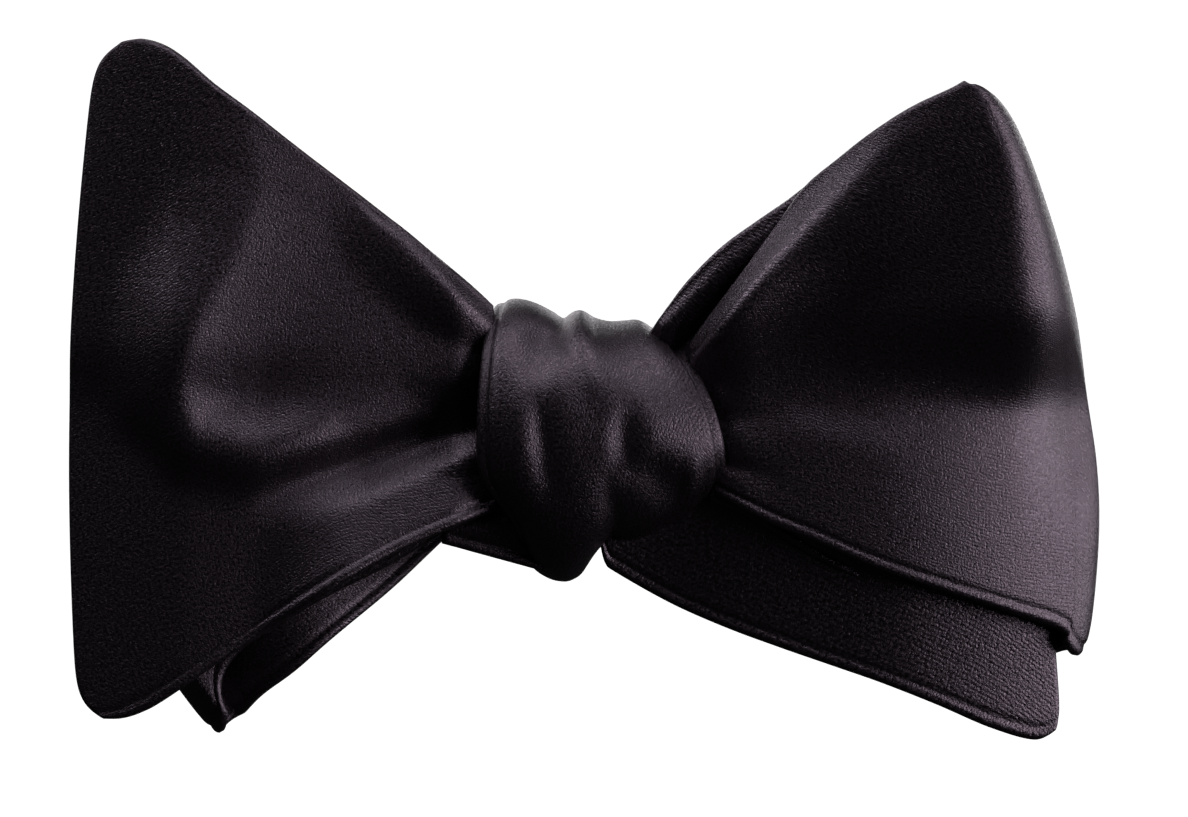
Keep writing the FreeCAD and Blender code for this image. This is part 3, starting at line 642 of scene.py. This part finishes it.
# Pleats of the knot, in millimetres: x, z, rise, and the widths of the flanks to the left and to the right of
# the way along the path. Each path runs downwards, so the left flank lies towards +X.
KNOT_PLEATS = [
    [(-3.2, 14.5, 1.2, 7, 1.0), (-4.0, 9.5, 1.5, 8, 1.1), (-4.8, 5.0, 0.7, 8, 1.8), (-5.4, 0.0, 0.1, 7, 2.5)],
    [
        (-10.6, 14.0, 0.5, 3, 2.5), (-11.2, 7.0, 0.7, 3, 2.2), (-11.4, 0.0, 0.5, 3.5, 2),
        (-10.5, -6.0, 0.1, 4, 2),
    ],
    [(-8.4, 8.0, 0.1, 2, 2), (-8.8, 2.0, 0.5, 2.4, 2.4), (-8.8, -5.0, 0.4, 3, 2.4), (-8.0, -11.0, 0.1, 3, 3)],
    [
        (-6.4, 3.0, -0.1, 2, 2), (-6.4, -1.0, -0.6, 2.6, 2.2), (-5.6, -6.0, -0.4, 3, 2.4),
        (-5.0, -10.0, 0, 3, 3),
    ],
    [
        (3.4, 3.4, -0.1, 2.4, 2), (2.8, -0.6, -0.9, 3.4, 1.8), (2.4, -5.0, -0.7, 2.6, 1.8),
        (1.6, -9.0, -0.2, 2, 2),
    ],
    [(2.6, -4.0, 0.2, 1.2, 1.0), (2.0, -7.0, 0.7, 1.8, 1.1), (1.6, -10.0, 0.3, 2, 1.2)],
    [(10.9, -4.0, 0.1, 1.0, 1.0), (10.8, -7.4, 0.9, 1.2, 1.5), (9.8, -10.5, 0.4, 1.2, 1.5)],
    [(0.4, 10.0, 0.1, 4, 4), (1.2, 5.0, 0.5, 5, 4), (3.8, 0.5, 0.3, 5, 3), (6.8, -3.0, 0.1, 4, 3)],
]


def knot_tail():
    """The end of the wrap that comes out behind the knot, low on the left."""
    out = np.linspace(0, 1, 40)[:, None]
    up = spread(30)[None, :]
    x = -KNOT_HALF * (0.45 + 0.86 * out) + 0 * up
    low = KNOT_TOP * (-1.18 + 0.22 * out)
    high = KNOT_TOP * (-0.55 - 0.22 * out**2)
    z = low + (high - low) * up
    y = FRONT_LAYER + 3.4 + 0.8 * np.sin(up * 9.0) * (1 - out) + 0 * z
    return np.stack([x * np.ones_like(z), y, z], axis=2)


def pleated_roll(low, high, pleats, rows=60, around=96):
    """Gathered cloth along X that fills a box, as a closed roll with pleats."""
    share = np.linspace(0, 1, rows)[:, None]
    turn = np.linspace(0, 2 * math.pi, around, endpoint=False)[None, :]
    centre = (low + high) / 2
    half = (high - low) / 2
    swell = np.sqrt(np.maximum(1 - np.abs(2 * share - 1) ** 14, 0))
    wave = 1 - 0.08 * (1 + np.sin(turn * pleats + 5 * share))
    radius = swell * wave
    y = centre[1] + half[1] * radius * np.sign(np.cos(turn)) * np.abs(np.cos(turn)) ** 0.7
    z = centre[2] + half[2] * radius * np.sign(np.sin(turn)) * np.abs(np.sin(turn)) ** 0.7
    x = low[0] + (high[0] - low[0]) * share + 0 * turn
    return np.stack([x, y, z], axis=2)


def roll_object(name, grid, material):
    """An object from a grid whose rows are rings."""
    rows, around = grid.shape[:2]
    corner = np.arange(rows - 1)[:, None] * around
    here = np.arange(around)[None, :]
    after = (here + 1) % around
    quads = np.stack([corner + here, corner + after, corner + around + after, corner + around + here], axis=2)
    points = grid.reshape(-1, 3)
    run = lengths(grid, 0)
    width = lengths(grid, 1)
    flat = np.stack([run, width], axis=2).reshape(-1, 2)
    thing = mesh_object(name, points, quads.reshape(-1, 4), flat, material)
    weld(thing)
    return thing


# ------------------------------------------------------------------ neckband
def radius_of(node):
    """Smallest and largest distance of a node from the neck's axis."""
    points = np.array([tuple(v.co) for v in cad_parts[node].data.vertices])[:, :2] / MM
    size = np.hypot(points[:, 0], points[:, 1])
    return size.min(), size.max()


def angles_of(node):
    """First and last angle of a node about the neck, in degrees from the back towards +X."""
    points = np.array([tuple(v.co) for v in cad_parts[node].data.vertices])[:, :2]
    angle = np.degrees(np.arctan2(points[:, 0], points[:, 1]))
    return angle.min(), angle.max()


HALF_BAND = strap_high[2]
INNER_LEVEL = (radius_of("right_strap_inner")[0] + radius_of("right_strap_outer")[1]) / 2
OUTER_LEVEL = (radius_of("left_strap_inner")[0] + radius_of("left_strap_outer")[1]) / 2
STRAP_THICKNESS = radius_of("right_strap_outer")[1] - radius_of("right_strap_inner")[0]
BACK_TURN, SWING_TURN = angles_of("right_strap_inner")
CROSSING_TURN = 172.0
FRONT_TURN = 188.0
TAIL_START = 15.0
SLIDER_TURN = -sum(angles_of("slider")) / 2
RETURN_LENGTH = 16.0
CORE_RADIUS = box_mm("knot_core")[1][2]
CORE_DEPTH = -box_mm("knot_core")[0][1] - CORE_RADIUS


def polar(angle, radius, z):
    """A point of the band: angle in degrees from the back, towards +X."""
    a = np.radians(angle)
    return np.stack([radius * np.sin(a), radius * np.cos(a), z], axis=-1)


def band_grid(angles, level, half_width, columns=34):
    """A stretch of the neckband, with a slight ripple along its edges."""
    across = (2 * spread(columns, 0.9) - 1)[None, :]
    angle = np.array(angles)[:, None] * np.ones_like(across)
    radius = level * np.ones_like(angle)
    z = half_width * across * np.ones_like(angle)
    ripple = 0.12 * np.sin(np.radians(angle) * 23.0) * across**2
    return polar(angle, radius + ripple, z)


# ------------------------------------------------------------------ make the pieces
def finish_piece(thing, body, slot, *nodes):
    """Parents a piece to what it moves with and hides the nodes that it stands for. slot is not used."""
    if body:
        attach(thing, body)
    if nodes:
        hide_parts(*nodes)
    return thing


def lining(name, grid, thickness, body, node, flat, held):
    """The interlining inside a piece of cloth, a little smaller than it all round."""
    inside = grid[3:-3:2, 8:-8:2] if grid.shape[1] > 60 else grid[3:-3:2, 4:-4]
    thing = cloth(name, inside, CANVAS, thickness=thickness, seam=0.0)
    return finish_piece(thing, body, "interlining", node)


# Each leaf: what makes its grid, its cut (width and length in metres), its flat area in square metres and how
# it is held.
LEAVES = {
    "left_end": (left_end, (0.079, 0.054), 0.00285, "gathered"),
    "right_loop": (right_loop, (0.066, 0.105), 0.00510, "folded"),
    "left_loop": (left_loop, (0.048, 0.104), 0.00330, "folded"),
    "right_end": (right_end, (0.070, 0.056), 0.00270, "gathered"),
}


def make_bow():
    for label, (make, flat, area, held) in LEAVES.items():
        grid = make()
        thing = cloth(f"{label}_cloth", grid, COARSE if label == "right_end" else SATIN)
        finish_piece(thing, "bow", "satin", f"{label}_face", f"{label}_back")
        lining(f"{label}_lining", grid, 0.5, "bow", f"{label}_interlining", flat, held)
    grid = knot_surface()
    wrap = cloth("knot_wrap_cloth", grid, SATIN, thickness=1.2)
    finish_piece(wrap, "bow", "satin", "knot_wrap")
    lining("knot_wrap_lining", grid, 0.5, "bow", "knot_wrap_interlining", (0.032, 0.058), "gathered")
    grid = knot_surface(120, 90, widen=1.2, sink=1.6)
    under = cloth("knot_wrap_fold", grid, SATIN, thickness=1.0)
    finish_piece(under, "bow", "satin")
    grid = knot_tail()
    tail = cloth("knot_tail_cloth", grid, SATIN, thickness=1.1)
    finish_piece(tail, "bow", "satin", "wrap_return")
    for label, pleats, inside in (("front_waist", 9, 2.8), ("back_waist", 7, 0.0)):
        low, high = box_mm(label)
        low = low + (1.5, inside, 1.5)
        high = high - (1.5, 0.0, 1.5)
        roll = roll_object(f"{label}_gathers", pleated_roll(low, high, pleats), SATIN)
        finish_piece(roll, "bow", "satin", label)


def half_turn(angle, inner, outer, side, half_width, rows=16, columns=34):
    """The turn of a strap round a metal bar, from the outer level to the inner one."""
    centre = (inner + outer) / 2
    reach = (outer - inner) / 2
    across = (2 * spread(columns, 0.9) - 1)[None, :]
    turn = np.radians(np.linspace(0, 180, rows))[:, None] * np.ones_like(across)
    a = math.radians(angle)
    radial = centre + reach * np.cos(turn)
    beside = side * reach * np.sin(turn)
    x = radial * math.sin(a) + beside * math.cos(a)
    y = radial * math.cos(a) - beside * math.sin(a)
    return np.stack([x, y, half_width * across * np.ones_like(turn)], axis=-1)


def strap_cloth(name, grid, edges):
    thing = cloth(name, grid, SATIN, thickness=STRAP_THICKNESS, seam=0.0, edges=edges)
    return thing


def make_band():
    right_turn = BACK_TURN + math.degrees(RETURN_LENGTH / OUTER_LEVEL)
    left_run = band_grid(np.linspace(CROSSING_TURN - 360, -BACK_TURN, 240), OUTER_LEVEL, HALF_BAND)
    left_fold = half_turn(-BACK_TURN, INNER_LEVEL, OUTER_LEVEL, 1, HALF_BAND)
    tail_start = band_grid(np.linspace(-BACK_TURN, -TAIL_START, 6), INNER_LEVEL, HALF_BAND)
    grid = np.concatenate([left_run, left_fold[1:], tail_start[1:]])
    length = float(lengths(grid, 0)[-1].mean())
    left = strap_cloth("left_strap_cloth", grid, (True, False, True, True))
    finish_piece(left, "neckband", "satin", "left_strap_inner", "left_strap_outer", "hook_fold")
    flat = (2 * (HALF_BAND - 1) * MM, (length - 4) * MM)
    lining("left_strap_lining", grid, 0.6, "neckband", "left_strap_interlining", flat, "laid")

    tail = band_grid(np.linspace(-TAIL_START, -SLIDER_TURN - 2.8, 90), INNER_LEVEL, HALF_BAND)
    length = float(lengths(tail, 0)[-1].mean())
    doubled = strap_cloth("doubled_tail_cloth", tail, (False, True, True, True))
    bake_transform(doubled)
    finish_piece(doubled, None, "satin", "adjuster_tail", "tail_loop")

    right_run = band_grid(np.linspace(FRONT_TURN, BACK_TURN, 240), INNER_LEVEL, HALF_BAND)
    right_fold = half_turn(BACK_TURN, OUTER_LEVEL, INNER_LEVEL, -1, HALF_BAND)
    back_run = band_grid(np.linspace(BACK_TURN, right_turn, 40), OUTER_LEVEL, HALF_BAND)
    grid = np.concatenate([right_run, right_fold[1:], back_run[1:]])
    length = float(lengths(grid, 0)[-1].mean())
    right = strap_cloth("right_strap_cloth", grid, (True, True, True, True))
    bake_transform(right)
    finish_piece(
        right, None, "satin", "right_front_strap_inner", "right_front_strap_outer", "right_strap_inner",
        "right_strap_outer", "eye_fold", "eye_return",
    )
    flat = (2 * (HALF_BAND - 1) * MM, (length - 4) * MM)
    inner = lining("right_strap_lining", grid, 0.6, None, "right_strap_interlining", flat, "laid")
    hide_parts("right_strap_interlining", "right_front_strap_interlining")
    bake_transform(inner)

    low, high = box_mm("knot_core")
    low[1], high[1] = -CORE_DEPTH - CORE_RADIUS, -CORE_DEPTH + CORE_RADIUS
    roll = roll_object("strap_crossing", pleated_roll(low, high, 6), SATIN)
    finish_piece(roll, "neckband", "satin", "knot_core")
    stem = crossing_stem()
    finish_piece(stem, "neckband", "satin")
    tacks = stitches(right_turn)
    finish_piece(tacks, "right_strap", "thread", "eye_bartack")


def crossing_stem(rows=24, around=56):
    """The straps where they turn forward out of the band and into the knot."""
    overlap = 0.4  # how far it starts inside the band
    share = np.linspace(0, 1, rows)[:, None]
    turn = np.linspace(0, 2 * math.pi, around, endpoint=False)[None, :]
    wave = 1 + 0.10 * np.sin(turn * 5 + share * 2.5)
    wide = 3.9 + 2.4 * (1 - share) ** 2
    tall = 3.6 + 3.8 * (1 - share) ** 2
    x = wide * wave * np.cos(turn)
    z = tall * wave * np.sin(turn)
    y = -(OUTER_LEVEL - overlap) - (CORE_DEPTH - OUTER_LEVEL + overlap) * share + 0 * turn
    return roll_object("crossing_stem", np.stack([x, y, z], axis=2), SATIN)


def stitches(right_turn):
    """A zigzag bar tack through the strap's sewn end."""
    face = OUTER_LEVEL + STRAP_THICKNESS / 2
    middle = math.radians(right_turn - 2.6)
    zigzag = 0.75   # half the width of the tack
    cover = 0.88    # share of the band's width that the tack crosses
    count = 34
    thread = 0.17
    points = []
    for number in range(count + 1):
        beside = zigzag if number % 2 else -zigzag
        z = HALF_BAND * cover * (2 * number / count - 1)
        for share, lift in ((0.0, -0.05), (0.5, 0.22)):
            swing = beside * (1 - 2 * share)
            angle = middle + swing / face
            z_here = z + share * HALF_BAND * cover * 2 / count
            points.append(polar(math.degrees(angle), face + lift, z_here))
    return tube("strap_bartack", np.array(points), thread)


def tube(name, path, radius, around=7):
    """A thread along a path."""
    way = np.gradient(path, axis=0)
    way /= np.linalg.norm(way, axis=1, keepdims=True)
    guide = np.tile([0.0, 0.0, 1.0], (len(path), 1))
    side = np.cross(way, guide)
    side /= np.maximum(np.linalg.norm(side, axis=1, keepdims=True), 1e-6)
    up = np.cross(side, way)
    turn = np.linspace(0, 2 * math.pi, around, endpoint=False)
    ring = radius * (side[:, None] * np.cos(turn)[None, :, None] + up[:, None] * np.sin(turn)[None, :, None])
    return roll_object(name, path[:, None] + ring, THREAD)


make_bow()
make_band()

for node in ("hook", "eye", "slider"):
    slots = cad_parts[node].data.materials
    slots.clear()
    slots.append(METAL)


# ------------------------------------------------------------------ camera, light and ground
def area_light(name, place, aim, size, power, colour):
    light = bpy.data.lights.new(name, "AREA")
    light.shape = "RECTANGLE"
    light.size, light.size_y = size
    light.energy = power
    light.color = colour
    thing = bpy.data.objects.new(name, light)
    thing.location = place
    thing.rotation_euler = (Vector(aim) - Vector(place)).to_track_quat("-Z", "Y").to_euler()
    bpy.context.scene.collection.objects.link(thing)


def studio():
    """A camera in front of the bow, soft lamps round it and a pale floor that bends up behind it."""
    camera = bpy.data.cameras.new("camera")
    camera.sensor_width = 36.0
    bow_plane = FRONT_LAYER * MM
    distance = 0.45
    shown_width = 0.1373
    aim_x = -0.0004
    aim_z = 0.0019
    camera.lens = camera.sensor_width * distance / shown_width
    camera.clip_start = 0.01
    camera.clip_end = 20.0
    viewer = bpy.data.objects.new("camera", camera)
    viewer.location = (aim_x, bow_plane - distance, aim_z)
    viewer.rotation_euler = (math.radians(90), 0, 0)
    bpy.context.scene.collection.objects.link(viewer)
    bpy.context.scene.camera = viewer
    centre = (0, bow_plane, 0)
    area_light("right_key", (0.84, -0.62, 0.12), centre, (0.5, 0.6), 4.4, (1.0, 0.98, 0.98))
    area_light("upper_left", (-0.70, -0.12, 0.75), centre, (0.4, 0.4), 3.0, (0.98, 0.98, 1.0))
    area_light("right_rim", (1.0, 0.02, 0.05), centre, (0.5, 0.8), 4.0, (1.0, 0.98, 1.0))
    area_light("top_key", (0.08, -0.36, 0.82), centre, (0.6, 0.45), 2.6, (0.98, 0.98, 1.0))
    area_light("back_left", (-0.3, 1.0, 0.55), (0, 0, 0), (0.7, 0.7), 2.6, (1.0, 1.0, 1.0))
    area_light("back_right", (0.35, 1.0, 0.25), (0, 0, 0), (0.5, 0.7), 2.5, (1.0, 1.0, 1.0))
    world = bpy.data.worlds.new("studio")
    world.use_nodes = True
    world.node_tree.nodes["Background"].inputs["Color"].default_value = (1, 1, 1, 1)
    world.node_tree.nodes["Background"].inputs["Strength"].default_value = 0.012
    bpy.context.scene.world = world
    bpy.context.scene.view_settings.view_transform = "Standard"
    floor_material, _, shader = new_material("pale_floor")
    shader.inputs["Base Color"].default_value = (0.93, 0.93, 0.93, 1)
    shader.inputs["Roughness"].default_value = 0.9
    shader.inputs["Emission Color"].default_value = (1, 1, 1, 1)
    shader.inputs["Emission Strength"].default_value = 1.0
    reach = 6.0
    level = -0.16
    start = 1.2
    bend = 0.6
    top = 4.0
    profile = [(-reach, level)]
    for step in range(13):
        turn = math.pi / 2 * step / 12
        profile.append((start + bend * math.sin(turn), level + bend * (1 - math.cos(turn))))
    profile.append((start + bend, top))
    points = [(x, y, z) for y, z in profile for x in (-reach, reach)]
    faces = [(2 * n, 2 * n + 1, 2 * n + 3, 2 * n + 2) for n in range(len(profile) - 1)]
    mesh = bpy.data.meshes.new("ground")
    mesh.from_pydata(points, [], faces)
    mesh.materials.append(floor_material)
    mesh.shade_smooth()
    ground = bpy.data.objects.new("ground", mesh)
    bpy.context.scene.collection.objects.link(ground)
    ground.visible_diffuse = False
    ground.visible_glossy = False


studio()
